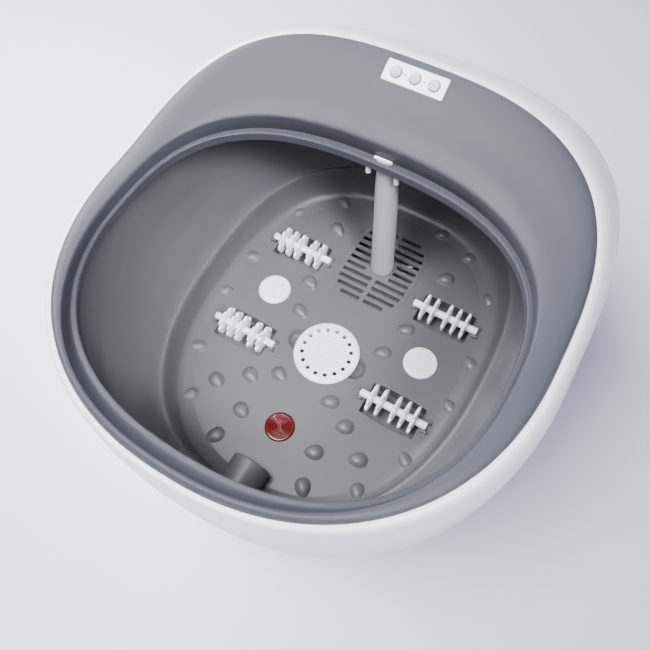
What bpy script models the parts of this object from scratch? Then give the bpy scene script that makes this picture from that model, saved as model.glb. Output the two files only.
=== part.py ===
"""Foot spa basin: a white outer shell around a grey tub, with massage rollers,
a herb box, an infrared lens, a circulation pump and a spray column.

Metres, +Z up.  The origin is on the table, in the middle of the footprint.
The toe end, under the sloping deck, is +Y and the heel end is -Y.
Sizes in the tables are millimetres from the top of the tub's floor.
"""
import bpy
import bmesh
from collections import namedtuple
from math import atan2, copysign, cos, hypot, pi, radians, sin
from mathutils import Matrix, Vector

# ---------------------------------------------------------------- driving sizes
MM = 0.001
FLOOR_Z = 52.0          # top of the tub's floor above the table
CENTRE_Y = 1.0          # middle of the floor, behind the middle of the footprint
SEGMENTS = 32           # points round each big outline
GAP = 0.4               # clearance between pieces that touch

SHELL_WALL = 2.6
TUB_WALL = 2.7
BASE_UNDER_Z = 5.5 - FLOOR_Z     # underside of the base plate
BASE_THICK = 3.0

ROLLER_X = 84.6
ROLLER_Y = (71.0, -41.3)         # rear pair, front pair
ROLLER_AXIS_Z = 4.0
ROLLER_TIP = 14.5                # radius over the teeth
ROLLER_ROOT = 11.2
ROLLER_TEETH = 8
ROLLER_DISCS = (-22.6, -12.4, 2.2, 12.1, 21.9)
AXLE_RADIUS = 3.8
AXLE_LENGTH = 70.0
TRAY_HALF = (28.0, 17.2)         # inside of a roller pocket
TRAY_DEPTH = 13.5
TRAY_WALL = 2.0

DISC_X, DISC_Y, DISC_RADIUS = 85.1, 15.2, 17.0
HERB_Y, HERB_RADIUS = -21.7, 33.0
HERB_CUP_RADIUS = 30.0
HERB_HOLES, HERB_HOLE_CIRCLE = 16, 24.4
HERB_FIRST_HOLE = radians(4.0)   # from +X
SCOOP_X = 31.0                   # finger scoops at the sides of the lid
LENS_Y, LENS_RADIUS = -108.6, 14.0
COLUMN_Y = 95.0
COLUMN_TOP_Z = 166.4
COLUMN_LEAN = -0.032             # shift of its axis in Y for each millimetre of height
GRILLE_Y = 93.0                  # middle of the intake grille
GRILLE_HALF = (41.0, 50.0)
GRILLE_CORNER = 25.0
GRILLE_SLOTS = 11
GRILLE_FIRST_Y, GRILLE_PITCH = 48.8, 8.8
GRILLE_SLOT, GRILLE_RIB = 4.8, 3.0   # width of a slot, half width of the middle rib
GRILLE_PAD = 14.0                # half width of the plain pad at the column
SUMP_DEPTH = 27.0
PUMP_Y = 66.0

DRAIN_Z = 11.5                   # axis of the drain above the floor
DRAIN_BOSS = 18.5
DRAIN_BORE = 9.2
DRAIN_NIPPLE = 13.0
DRAIN_PLUG_Y = -203.5            # outer face of the plug's flange

DECK_SLOPE = radians(30.0)       # slope of the deck behind the opening
PANEL_CENTRE = (0.0, 126.5, 222.3)
PANEL_SIZE = (52.0, 17.0, 3.0)
BUTTON_X = (-16.0, 0.0, 16.0)
BUTTON_RADIUS = 4.5

CLIP_Y = 79.4
INLET_CENTRE, INLET_SIZE = (0, 173, -15), (30, 26, 22)
AIR_PUMP_CENTRE, AIR_PUMP_SIZE = (-68, -100, -28.4), (54, 38, 26)

POSTS = [(-60, -138), (60, -138), (-117, 10), (117, 10), (-86, 118), (86, 118)]
FEET = [(-108, -98), (108, -98), (-108, 104), (108, 104)]

# x, y, and direction of the long axis in degrees, for the bumps on the right
BUMPS = [
    (115.0, 112.5, -32), (77.0, 149.5, 26), (65.5, 113.5, 26), (128.5, 38.0, -32),
    (130.0, -12.0, -32), (56.5, 40.0, 26), (48.0, 6.0, 26), (117.0, -78.5, -32),
    (79.0, -99.5, 26), (93.5, -125.5, 125), (53.0, -78.5, 26), (28.5, -64.0, 26),
    (40.5, -113.5, 26), (48.5, -146.0, 125), (38.0, 163.0, 26),
]
BUMP_HALF = (9.2, 7.2, 4.6)

# half width, y of the widest line, reach to the front, reach to the rear, height,
# how far the rear end rises, how far the front end rises, and how square the outline
# is in front and behind (2 is an ellipse)
Ring = namedtuple("Ring", "width centre front rear height rise lift nose toe",
                  defaults=(2.35, 2.65))
RISE_POWER = 1.6

TUB_INSIDE = [
    Ring(124.0, 6, 168, 154, 0.0, 0, 0),
    Ring(132.5, 7, 176.5, 161.5, 2.6, 0, 0),
    Ring(138.8, 7.5, 182.8, 167, 7.4, 0, 0),
    Ring(140.6, 8, 184.8, 168.6, 12.0, 0, 0),
    Ring(143.0, 9, 188, 170, 24.0, 0, 0),
    Ring(144.5, 8, 190, 172, 38.0, 0, 0),
    Ring(147.5, 7, 192, 175, 39.5, 0, 0),
    Ring(159.0, -5, 185, 190, 62.0, 0, 0),
    Ring(169.0, -16, 180, 202, 85.0, 0, 0),
    Ring(174.5, -25, 175, 213, 105.0, 0, 0),
    Ring(175.0, -28, 172, 215, 126.0, 0, 0),
    Ring(173.0, -30, 169, 215, 150.0, 0, 0),
    Ring(170.0, -32, 165, 215, 168.0, 0, 0),
]
FLANGE = Ring(178.0, -32, 172, 222, 168.0, 0, 0)

FRAME_SECTION = [       # once round the section, from the foot of the inner lip
    Ring(159.0, -50, 141, 125, 170.0, 0, 0),
    Ring(159.0, -50, 141, 125, 176.4, 0, 0),
    Ring(159.8, -50, 142, 126, 177.5, 0, 0),
    Ring(161.8, -50, 145.5, 131.6, 178.0, 0, 0, 2.35, 2.6),
    Ring(163.0, -46, 156.5, 124, 186.0, 9, 2.5, 2.3, 2.55),
    Ring(164.4, -45, 158.0, 124.6, 187.6, 10, 3.0, 2.3, 2.55),
    Ring(173.5, -36, 169.0, 143, 188.4, 24, 3.0, 2.25, 2.7),
    Ring(180.3, -28, 179.0, 161.0, 187.2, 39, 3.0, 2.25, 2.85),
    Ring(183.0, -25, 183.5, 164, 184.0, 45, 3.4, 2.22, 2.9),
    Ring(183.0, -25, 183.5, 164, 177.0, 45, 3.4, 2.22, 2.9),
    Ring(180.6, -25, 181.1, 161.6, 177.0, 45, 3.4, 2.22, 2.9),
    Ring(179.8, -26, 179.8, 160.4, 183.8, 39, 3.0, 2.25, 2.85),
    Ring(173.5, -36, 169.4, 143, 185.6, 23.6, 2.6, 2.25, 2.7),
    Ring(166.8, -45, 159.8, 127.2, 184.8, 10, 1.8, 2.3, 2.55),
    Ring(165.0, -50, 149.0, 135.6, 173.6, 0, 0, 2.35, 2.6),
    Ring(161.5, -50, 143.5, 127.5, 173.6, 0, 0),
    Ring(161.5, -50, 143.5, 127.5, 170.0, 0, 0),
]

SHELL_OUTSIDE = [       # from the seam with the deck down to the base
    Ring(183.4, -25, 183.9, 164.4, 183.6, 45, 3.4, 2.22, 2.9),
    Ring(185.6, -25, 186.0, 167.4, 184.0, 45, 3.4, 2.22, 2.9),
    Ring(190.5, -24, 189.4, 180, 180.0, 43, 3.0, 2.22, 3.0),
    Ring(195.5, -21, 193.5, 204, 166.0, 38, 2.0, 2.22, 3.1),
    Ring(198.8, -18, 198.5, 223, 146.0, 27, 0, 2.24, 3.2),
    Ring(200.0, -14, 203.0, 229, 118.0, 12, 0, 2.26, 3.1),
    Ring(198.0, -10, 205.0, 224, 85.0, 0, 0, 2.28, 3.0),
    Ring(190.0, -4, 203.0, 206, 45.0, 0, 0, 2.3, 2.8),
    Ring(178.0, 0, 194, 189, 5.0, 0, 0, 2.3, 2.7),
    Ring(167.0, 0, 184, 177, -30.0, 0, 0, 2.3, 2.65),
    Ring(163.5, 0, 180.5, 173.5, -40.0, 0, 0, 2.3, 2.65),
    Ring(160.5, 0, 177.5, 170.5, -47.0, 0, 0, 2.3, 2.65),
]


# ---------------------------------------------------------------- scene set-up
def new_scene():
    for obj in list(bpy.data.objects):
        bpy.data.objects.remove(obj, do_unlink=True)
    collections = []
    for name in ("foot_spa_basin", "cutters"):
        collection = bpy.data.collections.new(name)
        bpy.context.scene.collection.children.link(collection)
        collections.append(collection)
    return collections


PARTS, CUTTERS = new_scene()


def finish_material(name, colour, roughness, metallic=0.0):
    material = bpy.data.materials.new(name)
    material.use_nodes = True
    shader = material.node_tree.nodes["Principled BSDF"]
    shader.inputs["Base Color"].default_value = (*colour, 1.0)
    shader.inputs["Roughness"].default_value = roughness
    shader.inputs["Metallic"].default_value = metallic
    return material


WHITE = ((0.78, 0.79, 0.83), 0.35)
PALE = ((0.68, 0.69, 0.74), 0.4)
GREY = ((0.33, 0.35, 0.39), 0.42)
DARK = ((0.05, 0.05, 0.06), 0.6)
RED = ((0.35, 0.01, 0.01), 0.15)
STEEL = ((0.55, 0.55, 0.56), 0.3, 1.0)
GREEN = ((0.03, 0.22, 0.08), 0.5)
RUBBER = ((0.10, 0.10, 0.11), 0.8)


def at(x, y, z):
    """A point given from the middle of the floor, in millimetres, as metres."""
    return Vector((x, y + CENTRE_Y, z + FLOOR_Z)) * MM


def place(mesh, name, finish, collection=None):
    obj = bpy.data.objects.new(name, mesh)
    (collection or PARTS).objects.link(obj)
    if collection is CUTTERS:
        obj.hide_render = True
        obj.display_type = "WIRE"
    else:
        mesh.materials.append(finish_material(name, *finish))
    return obj


def to_mesh(bm, name):
    bmesh.ops.recalc_face_normals(bm, faces=bm.faces)
    mesh = bpy.data.meshes.new(name)
    bm.to_mesh(mesh)
    bm.free()
    return mesh


def tool(bm, name):
    return place(to_mesh(bm, name), name, None, CUTTERS)


# ---------------------------------------------------------------- shape makers
def signed_power(value, power):
    return copysign(abs(value) ** power, value)


def outline(ring, segments=SEGMENTS):
    """Points of a ring, straight ahead (+Y) first."""
    points = []
    for i in range(segments):
        angle = 2 * pi * i / segments
        ahead = cos(angle) >= 0
        power = 2 / (ring.toe if ahead else ring.nose)
        along = signed_power(cos(angle), power)
        x = ring.width * signed_power(sin(angle), power)
        y = ring.centre + (ring.rear if ahead else ring.front) * along
        climb = ring.rise * along ** RISE_POWER if ahead else ring.lift * along ** 2
        points.append(at(x, y, ring.height + climb))
    return points


def grown(ring, wall, drop=0.0):
    return ring._replace(width=ring.width + wall, front=ring.front + wall,
                         rear=ring.rear + wall, height=ring.height - drop)


def offset(rings, wall):
    """The rings moved square to the side profile, away from the middle for wall > 0."""
    moved = []
    for i, ring in enumerate(rings):
        before, after = rings[max(i - 1, 0)], rings[min(i + 1, len(rings) - 1)]
        across, up = after.width - before.width, after.height - before.height
        length = hypot(across, up)
        moved.append(grown(ring, wall * up / length, wall * across / length))
    return moved


def loft(bm, loops, closed):
    """A skin over loops of points: a closed tube, or one that is capped at its ends."""
    rows = [[bm.verts.new(point) for point in loop] for loop in loops]
    pairs = list(zip(rows, rows[1:])) + ([(rows[-1], rows[0])] if closed else [])
    for lower, upper in pairs:
        for i in range(len(lower)):
            j = (i + 1) % len(lower)
            bm.faces.new((lower[i], lower[j], upper[j], upper[i]))
    if not closed:
        bm.faces.new(rows[0])
        bm.faces.new(rows[-1])
    return bm


def ring_body(name, rings, finish, closed):
    bm = loft(bmesh.new(), [outline(ring) for ring in rings], closed)
    return place(to_mesh(bm, name), name, finish)


def rounded_box_outline(half_x, half_y, corner, z, middle_y, steps=4):
    points = []
    for quarter in range(4):
        cx = (half_x - corner) * (1 if quarter in (0, 3) else -1)
        cy = (half_y - corner) * (1 if quarter in (0, 1) else -1)
        for step in range(steps + 1):
            angle = pi / 2 * (quarter + step / steps)
            points.append(at(cx + corner * cos(angle), middle_y + cy + corner * sin(angle), z))
    return points


def add_box(bm, size, centre, turn=None):
    matrix = Matrix.Translation(at(*centre))
    if turn:
        matrix = matrix @ turn
    scale = Matrix.Diagonal((size[0] * MM, size[1] * MM, size[2] * MM, 1.0))
    bmesh.ops.create_cube(bm, size=1.0, matrix=matrix @ scale)
    return bm


AXIS_TURN = {
    "Z": Matrix.Identity(4),
    "X": Matrix.Rotation(pi / 2, 4, "Y"),
    "Y": Matrix.Rotation(-pi / 2, 4, "X"),
}


def add_cylinder(bm, radius, length, centre, axis="Z", segments=20, radius_end=None, turn=None):
    """A cylinder or cone; radius_end is its radius at the far (+) end of the axis."""
    matrix = Matrix.Translation(at(*centre)) @ (turn or AXIS_TURN[axis])
    end = radius if radius_end is None else radius_end
    bmesh.ops.create_cone(bm, cap_ends=True, segments=segments, radius1=radius * MM,
                          radius2=end * MM, depth=length * MM, matrix=matrix)
    return bm


def boolean(target, other, operation):
    modifier = target.modifiers.new(other.name, "BOOLEAN")
    modifier.operation = operation
    modifier.object = other
    modifier.solver = "EXACT"


def cut(target, other):
    boolean(target, other, "DIFFERENCE")


def join(target, other):
    boolean(target, other, "UNION")


def body(name, bm, finish):
    return place(to_mesh(bm, name), name, finish)


def turned(name, profile, centre, finish, axis="Z", steps=18, turn=None):
    """A turned piece.  The profile is (radius, height) pairs down its outer side."""
    mesh = bpy.data.meshes.new(name)
    count = len(profile)
    hollow = min(radius for radius, height in profile) > 0
    edges = [(i, i + 1) for i in range(count - 1)] + ([(count - 1, 0)] if hollow else [])
    mesh.from_pydata([(r * MM, 0, z * MM) for r, z in profile], edges, [])
    obj = place(mesh, name, finish)
    obj.matrix_world = Matrix.Translation(at(*centre)) @ (turn or AXIS_TURN[axis])
    screw = obj.modifiers.new("turn", "SCREW")
    screw.steps = screw.render_steps = steps
    screw.use_merge_vertices = True
    screw.merge_threshold = 0.00001
    return obj


def tube(name, points, radius, finish):
    """A hose or rod with filled ends along a smooth route through the points."""
    curve = bpy.data.curves.new(name, "CURVE")
    curve.dimensions = "3D"
    curve.bevel_depth = radius * MM
    curve.bevel_resolution = 2
    curve.use_fill_caps = True
    spline = curve.splines.new("POLY")
    route = smooth_route([at(*point) for point in points])
    spline.points.add(len(route) - 1)
    for knot, point in zip(spline.points, route):
        knot.co = (*point, 1.0)
    curve.materials.append(finish_material(name, *finish))
    obj = bpy.data.objects.new(name, curve)
    PARTS.objects.link(obj)
    return obj


def smooth_route(points, steps=2):
    """A Catmull-Rom curve through the points."""
    knots = [points[0] * 2 - points[1]] + points + [points[-1] * 2 - points[-2]]
    route = []
    for a, b, c, d in zip(knots, knots[1:], knots[2:], knots[3:]):
        for step in range(steps):
            t = step / steps
            route.append(0.5 * (2 * b + (c - a) * t + (2 * a - 5 * b + 4 * c - d) * t ** 2
                                + (3 * b - a - 3 * c + d) * t ** 3))
    return route + [points[-1]]


# ---------------------------------------------------------------- casings
def build_casings():
    inside = offset(SHELL_OUTSIDE, SHELL_WALL)[1:]
    inside = [grown(SHELL_OUTSIDE[0], 0.2, 6.0)] + inside
    shell = ring_body("outer_shell", SHELL_OUTSIDE + inside[::-1], WHITE, True)
    drain_hole = add_cylinder(bmesh.new(), DRAIN_NIPPLE + 1.6, 40, (0, -196, DRAIN_Z), "Y")
    cut(shell, tool(drain_hole, "drain_hole"))
    inlet_x, inlet_y, inlet_z = INLET_CENTRE
    inlet_hole = add_box(bmesh.new(), (INLET_SIZE[0] + 3 * GAP, 40, INLET_SIZE[2] + 3 * GAP),
                         (inlet_x, inlet_y + 9, inlet_z))
    cut(shell, tool(inlet_hole, "inlet_hole"))

    base_outline = SHELL_OUTSIDE[-1]
    base_rings = [grown(base_outline, -SHELL_WALL - 1.0)._replace(height=height)
                  for height in (BASE_UNDER_Z, BASE_UNDER_Z + BASE_THICK)]
    base = ring_body("base_plate", base_rings, PALE, False)
    holes = bmesh.new()
    for x, y in POSTS:
        boss = add_cylinder(bmesh.new(), 5.6, 19, (x, y, BASE_UNDER_Z + 11), segments=12)
        join(base, tool(boss, f"boss_{x}_{y}"))
        add_cylinder(holes, 2.2, 60, (x, y, -30), segments=8)
        add_cylinder(holes, 4.4, 8, (x, y, BASE_UNDER_Z), segments=12)
    for x, y in FEET:
        add_cylinder(holes, 5.4, 20, (x, y, BASE_UNDER_Z), segments=12)
    for row in range(7):
        add_box(holes, (46, 3, 20), (0, -52 + 9 * row, BASE_UNDER_Z))
    cut_in_turn(base, holes, "base_holes")

    for number, (x, y) in enumerate(FEET, 1):
        turned(f"foot_{number}", [(0, 11), (5.0, 11), (5.0, 5.1), (13, 5.1), (13, 1.2),
                                  (11.8, 0), (0, 0)], (x, y, -FLOOR_Z), RUBBER, steps=16)
    for number, (x, y) in enumerate(POSTS, 1):
        turned(f"base_screw_{number}", [(0, 34), (1.0, 34), (1.8, 31), (1.8, 9.2), (4.0, 9.2),
                                        (4.0, 6.6), (3.2, 6.0), (0, 6.0)],
               (x, y, -FLOOR_Z), STEEL, steps=8)


def cut_in_turn(target, bm, name):
    """Cut with a mesh whose bodies may overlap one another."""
    tool_object = tool(bm, name)
    cut(target, tool_object)
    target.modifiers[-1].use_self = True


def build_tub():
    outside = offset(TUB_INSIDE, TUB_WALL)[:-1]
    under_flange = FLANGE._replace(height=FLANGE.height - TUB_WALL)
    wall_top = grown(TUB_INSIDE[-1], TUB_WALL)._replace(height=under_flange.height)
    rings = outside + [wall_top, under_flange, FLANGE] + TUB_INSIDE[::-1]
    tub = ring_body("inner_tub", rings, GREY, False)

    bumps = bmesh.new()
    for x, y, heading in BUMPS:
        for side in (1, -1):
            add_bump(bumps, side * x, y, heading if side > 0 else 180 - heading)
    join(tub, tool(bumps, "bumps"))

    boss = add_cylinder(bmesh.new(), DRAIN_BOSS, 32, (0, -168, DRAIN_Z), "Y", 24)
    join(tub, tool(boss, "drain_boss"))
    nipple = add_cylinder(bmesh.new(), DRAIN_NIPPLE, 24, (0, -184, DRAIN_Z), "Y", 20)
    join(tub, tool(nipple, "drain_nipple"))
    posts = bmesh.new()
    for x, y in POSTS:
        add_cylinder(posts, 4.5, 23.6, (x, y, -13.2), segments=8)
    join(tub, tool(posts, "posts"))
    scoop_blocks = bmesh.new()
    for side in (1, -1):
        add_cylinder(scoop_blocks, 13, 8, (SCOOP_X * side, HERB_Y, -5), segments=20)
    join(tub, tool(scoop_blocks, "scoop_blocks"))

    scoops = bmesh.new()
    for side in (1, -1):
        add_cylinder(scoops, 7, 8, (SCOOP_X * side, HERB_Y, -2.4), segments=20, radius_end=12.5)
    cut(tub, tool(scoops, "scoops"))
    holes = bmesh.new()
    add_cylinder(holes, DRAIN_BORE, 80, (0, -168, DRAIN_Z), "Y", 20)
    add_cylinder(holes, HERB_CUP_RADIUS + GAP, 40, (0, HERB_Y, -10), segments=24)
    add_cylinder(holes, LENS_RADIUS + GAP, 12, (0, LENS_Y, 0), segments=20)
    for side in (1, -1):
        add_cylinder(holes, DISC_RADIUS + GAP, 12, (side * DISC_X, DISC_Y, 0), segments=20)
        for y in ROLLER_Y:
            add_tray_plan(holes, side * ROLLER_X, y, GAP, -6, 6)
    for x, y in POSTS:
        add_cylinder(holes, 2.1, 13, (x, y, -21), segments=8)
    grille = [rounded_box_outline(GRILLE_HALF[0] + GAP, GRILLE_HALF[1] + GAP, GRILLE_CORNER,
                                  z, GRILLE_Y) for z in (-8, 8)]
    loft(holes, grille, False)
    cut_in_turn(tub, holes, "tub_holes")


def add_bump(bm, x, y, heading):
    """An egg-shaped bump: the upper half is the dome, the lower half stays in the floor."""
    made = bmesh.ops.create_uvsphere(bm, u_segments=8, v_segments=4, radius=1.0)
    turn = Matrix.Rotation(radians(heading), 3, "Z")
    for vert in made["verts"]:
        long, short, up = vert.co
        height = up * (BUMP_HALF[2] if up > 0 else 1.2)
        taper = 1.0 + 0.18 * long
        egg = turn @ Vector((long * BUMP_HALF[0], short * BUMP_HALF[1] * taper, height))
        vert.co = at(x + egg.x, y + egg.y, egg.z - 0.2)


def build_frame():
    frame = ring_body("upper_frame", FRAME_SECTION, GREY, True)
    tilt = Matrix.Rotation(DECK_SLOPE, 4, "X")
    size = [PANEL_SIZE[0] + 2 * GAP, PANEL_SIZE[1] + 2 * GAP, 30]
    cut(frame, tool(add_box(bmesh.new(), size, PANEL_CENTRE, tilt), "panel_hole"))

    roof_rings = [grown(FLANGE, -1.0)._replace(height=170.7),
                  grown(FLANGE, -1.0)._replace(height=173.2),
                  grown(FRAME_SECTION[-1], 0.5)._replace(height=173.2),
                  grown(FRAME_SECTION[-1], 0.5)._replace(height=170.7)]
    roof = ring_body("toe_roof", roof_rings, GREY, True)
    slot = tool(add_box(bmesh.new(), (11.0, 3.2, 16), (0, CLIP_Y, 174)), "clip_slot")
    cut(frame, slot)
    cut(roof, slot)

    seal_rings = [grown(FLANGE, grow)._replace(height=height)
                  for grow, height in ((-2, 168.3), (-2, 170.4), (-5.4, 170.4), (-5.4, 168.3))]
    ring_body("tub_seal", seal_rings, RUBBER, True)


# ---------------------------------------------------------------- rollers
def add_tray_plan(bm, x, y, grow, low, high):
    """The pocket with an arm at each end for the axle seats."""
    body_x, body_y = (TRAY_HALF[0] + TRAY_WALL + grow), (TRAY_HALF[1] + TRAY_WALL + grow)
    height, middle = high - low, (high + low) / 2
    add_box(bm, (2 * body_x, 2 * body_y, height), (x, y, middle))
    add_box(bm, (78 + 2 * grow, 14 + 2 * grow, height + 0.02), (x, y, middle))


def build_roller_tray(name, x, y):
    bottom = -TRAY_DEPTH - TRAY_WALL
    outer = (TRAY_HALF[0] + TRAY_WALL, TRAY_HALF[1] + TRAY_WALL)
    tray = body(name, add_box(bmesh.new(), (2 * outer[0], 2 * outer[1], -bottom),
                              (x, y, bottom / 2)), GREY)
    arms = add_box(bmesh.new(), (78, 14, 2.4), (x, y, -1.22))
    join(tray, tool(arms, name + "_arms"))
    ears = bmesh.new()
    for side in (1, -1):
        add_box(ears, (7.0, 13.0, 5.4), (x + side * 34.0, y, 1.5))
    join(tray, tool(ears, name + "_ears"))
    hollow = add_box(bmesh.new(), (2 * TRAY_HALF[0], 2 * TRAY_HALF[1], 40),
                     (x, y, 20 - TRAY_DEPTH))
    cut(tray, tool(hollow, name + "_hollow"))
    saddle = add_cylinder(bmesh.new(), AXLE_RADIUS + 0.4, 90, (x, y, ROLLER_AXIS_Z), "X", 20)
    cut(tray, tool(saddle, name + "_saddle"))


def build_roller(name, x, y, side):
    bm = add_cylinder(bmesh.new(), AXLE_RADIUS, AXLE_LENGTH, (0, 0, 0), "X", 8)
    roller = body(name, bm, WHITE)
    origin = at(0, 0, 0)
    roller.data.transform(Matrix.Translation(-origin))
    discs = bmesh.new()
    for shift in ROLLER_DISCS:
        add_star(discs, shift * side)
    stars = tool(discs, name + "_stars")
    stars.data.transform(Matrix.Translation(-origin))
    roller.location = stars.location = at(x, y, ROLLER_AXIS_Z)
    join(roller, stars)


def add_star(bm, shift):
    """A toothed disc: teeth with valleys between them, thinner at their tips."""
    first = len(bm.verts)
    add_cylinder(bm, ROLLER_TIP, 4.6, (shift, 0, 0), "X", 2 * ROLLER_TEETH)
    bm.verts.ensure_lookup_table()
    middle = at(shift, 0, 0)
    for vert in bm.verts[first:]:
        out = vert.co - middle
        step = round(atan2(out.z, out.y) / pi * ROLLER_TEETH)
        thin, reach = (1.0, ROLLER_ROOT / ROLLER_TIP) if step % 2 else (0.6, 1.0)
        vert.co = middle + Vector((out.x * thin, out.y * reach, out.z * reach))


def build_rollers():
    for side, hand in ((-1, "left"), (1, "right")):
        for y, end in zip(ROLLER_Y, ("rear", "front")):
            x = side * ROLLER_X
            build_roller_tray(f"roller_tray_{end}_{hand}", x, y)
            build_roller(f"roller_{end}_{hand}", x, y, side)


# ---------------------------------------------------------------- floor inserts
def build_floor_inserts():
    for side, hand in ((-1, "left"), (1, "right")):
        turned(f"bubble_disc_{hand}",
               [(0, 1.4), (14, 1.2), (16.2, 0.6), (DISC_RADIUS, -0.4), (DISC_RADIUS, -3.4),
                (4.0, -3.4), (4.0, -15), (0, -15)],
               (side * DISC_X, DISC_Y, 0), WHITE)

    lid = turned("herb_box_lid",
                 [(0, 4.2), (29, 4.0), (31.8, 3.2), (HERB_RADIUS, 1.6), (HERB_RADIUS, 0.4),
                  (27.7, 0.4), (27.7, -4), (26.7, -4), (26.7, 1.8), (0, 1.8)],
                 (0, HERB_Y, 0), WHITE)
    holes = bmesh.new()
    for number in range(HERB_HOLES):
        angle = HERB_FIRST_HOLE + 2 * pi * number / HERB_HOLES
        across, along = HERB_HOLE_CIRCLE * cos(angle), HERB_HOLE_CIRCLE * sin(angle)
        add_cylinder(holes, 2.0, 12, (across, HERB_Y + along, 3.0), segments=6)
    cut(lid, tool(holes, "lid_holes"))
    turned("herb_cup", [(0, -22), (28, -22), (28, 0.1), (HERB_CUP_RADIUS, 0.1),
                        (HERB_CUP_RADIUS, -24), (0, -24)], (0, HERB_Y, 0), GREY)

    turned("infrared_lens", [(0, 1.0), (10, 0.8), (13.2, 0.3), (LENS_RADIUS, -0.5),
                             (LENS_RADIUS, -3.0), (0, -3.0)], (0, LENS_Y, 0), RED)
    turned("lamp_housing", [(0, -22), (14.6, -22), (14.6, -3.2), (16.4, -3.2), (16.4, -24),
                            (0, -24)], (0, LENS_Y, 0), PALE)
    turned("infrared_lamp", [(0, -6), (3.4, -7.2), (4.8, -10.4), (4.2, -14), (4.2, -21.6),
                             (0, -21.6)], (0, LENS_Y, 0), RED, steps=16)


def grille_slot_half_length(y):
    """Half the length of a slot: the field of slots has rounded ends."""
    reach = abs(y - GRILLE_Y) / GRILLE_HALF[1]
    return 36.0 * (1.0 - reach ** 5) ** 0.5


def build_grille_and_pump():
    plate = loft(bmesh.new(), [rounded_box_outline(*GRILLE_HALF, GRILLE_CORNER, z, GRILLE_Y)
                               for z in (-2.6, 0.0)], False)
    grille = body("intake_grille", plate, GREY)
    slots = bmesh.new()
    for row in range(GRILLE_SLOTS):
        y = GRILLE_FIRST_Y + GRILLE_PITCH * row
        near = GRILLE_PAD if abs(y - COLUMN_Y) < GRILLE_PAD else GRILLE_RIB
        length = grille_slot_half_length(y) - near
        for side in (1, -1):
            add_box(slots, (length, GRILLE_SLOT, 12), (side * (near + length / 2), y, 0))
    cut(grille, tool(slots, "grille_slots"))
    cut(grille, tool(add_cylinder(bmesh.new(), 8.5, 12, (0, COLUMN_Y, 0)), "spigot_hole"))

    half_x, half_y, corner = GRILLE_HALF[0] + 4, GRILLE_HALF[1] + 4, GRILLE_CORNER + 3
    rings = [rounded_box_outline(half_x, half_y, corner, -SUMP_DEPTH, GRILLE_Y),
             rounded_box_outline(half_x, half_y, corner, -3.1, GRILLE_Y),
             rounded_box_outline(half_x - 2, half_y - 2, corner - 2, -3.1, GRILLE_Y),
             rounded_box_outline(half_x - 2, half_y - 2, corner - 2, 2 - SUMP_DEPTH, GRILLE_Y)]
    sump = body("sump_tray", loft(bmesh.new(), rings, False), GREY)
    holes = add_cylinder(bmesh.new(), 2.8, 12, (0, PUMP_Y, -SUMP_DEPTH), segments=12)
    for side in (1, -1):
        add_cylinder(holes, 4.2, 12, (28 * side, 145, -14), "Y", 12)
    cut(sump, tool(holes, "sump_holes"))

    motor = turned("pump_motor", [(0, -27.4), (17, -27.4), (17, -41), (15, -43), (0, -43)],
                   (0, PUMP_Y, 0), STEEL)
    bore = add_cylinder(bmesh.new(), 2.6, 12, (0, PUMP_Y, -30), segments=12)
    cut(motor, tool(bore, "motor_bore"))
    impeller = turned("pump_impeller", [(0, 8), (5, 8), (5, 2), (14, 1), (14, -1), (2, -1),
                                        (2, -12), (0, -12)], (0, PUMP_Y, -22), PALE, steps=16)
    for number in range(5):
        vane = add_box(bmesh.new(), (9.5, 1.4, 5.0), (8.4, 0, 0))
        turn = Matrix.Rotation(2 * pi * number / 5, 4, "Z")
        vane_tool = tool(vane, f"vane_{number}")
        vane_tool.data.transform(Matrix.Translation(-at(0, 0, 0)))
        vane_tool.data.transform(turn)
        vane_tool.location = at(0, PUMP_Y, -19)
        join(impeller, vane_tool)

    tube("heater_rod", [(-28, 151, -14), (-28, 140, -14), (-28, 124, -14), (-20, 114, -14),
                        (0, 111, -14), (20, 114, -14), (28, 124, -14), (28, 140, -14),
                        (28, 151, -14)], 3.4, STEEL)
    turned("thermostat", [(0, -27.4), (8, -27.4), (8, -31), (5, -33), (0, -33)],
           (0, 118, 0), STEEL, steps=16)


def build_column():
    loops = []
    for radius, z in ((8.6, COLUMN_TOP_Z), (9.9, COLUMN_TOP_Z - 1.4), (10.6, 120), (11.5, 40),
                      (12.0, 0.4), (8.0, 0.4), (8.0, -14), (5.6, -14), (5.6, 12)):
        y = COLUMN_Y + COLUMN_LEAN * max(z - 12, 0)
        turns = [2 * pi * k / 24 for k in range(24)]
        loops.append([at(radius * cos(turn), y + radius * sin(turn), z) for turn in turns])
    body("spray_column", loft(bmesh.new(), loops, False), PALE)
    tab = add_box(bmesh.new(), (15.8, 2.4, 2.4), (0, CLIP_Y - 0.2, 179.7))
    clip = body("column_clip", tab, WHITE)
    web = add_box(bmesh.new(), (10.2, 2.4, 14), (0, CLIP_Y, 173))
    join(clip, tool(web, "clip_web"))
    bar = add_box(bmesh.new(), (30, 3.4, 3.2), (0, CLIP_Y + 0.2, 168.7))
    join(clip, tool(bar, "clip_bar"))
    nibs = bmesh.new()
    for side in (1, -1):
        add_cylinder(nibs, 2.4, 10, (13 * side, CLIP_Y + 0.2, 163.4), segments=12)
    join(clip, tool(nibs, "clip_nibs"))


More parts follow.
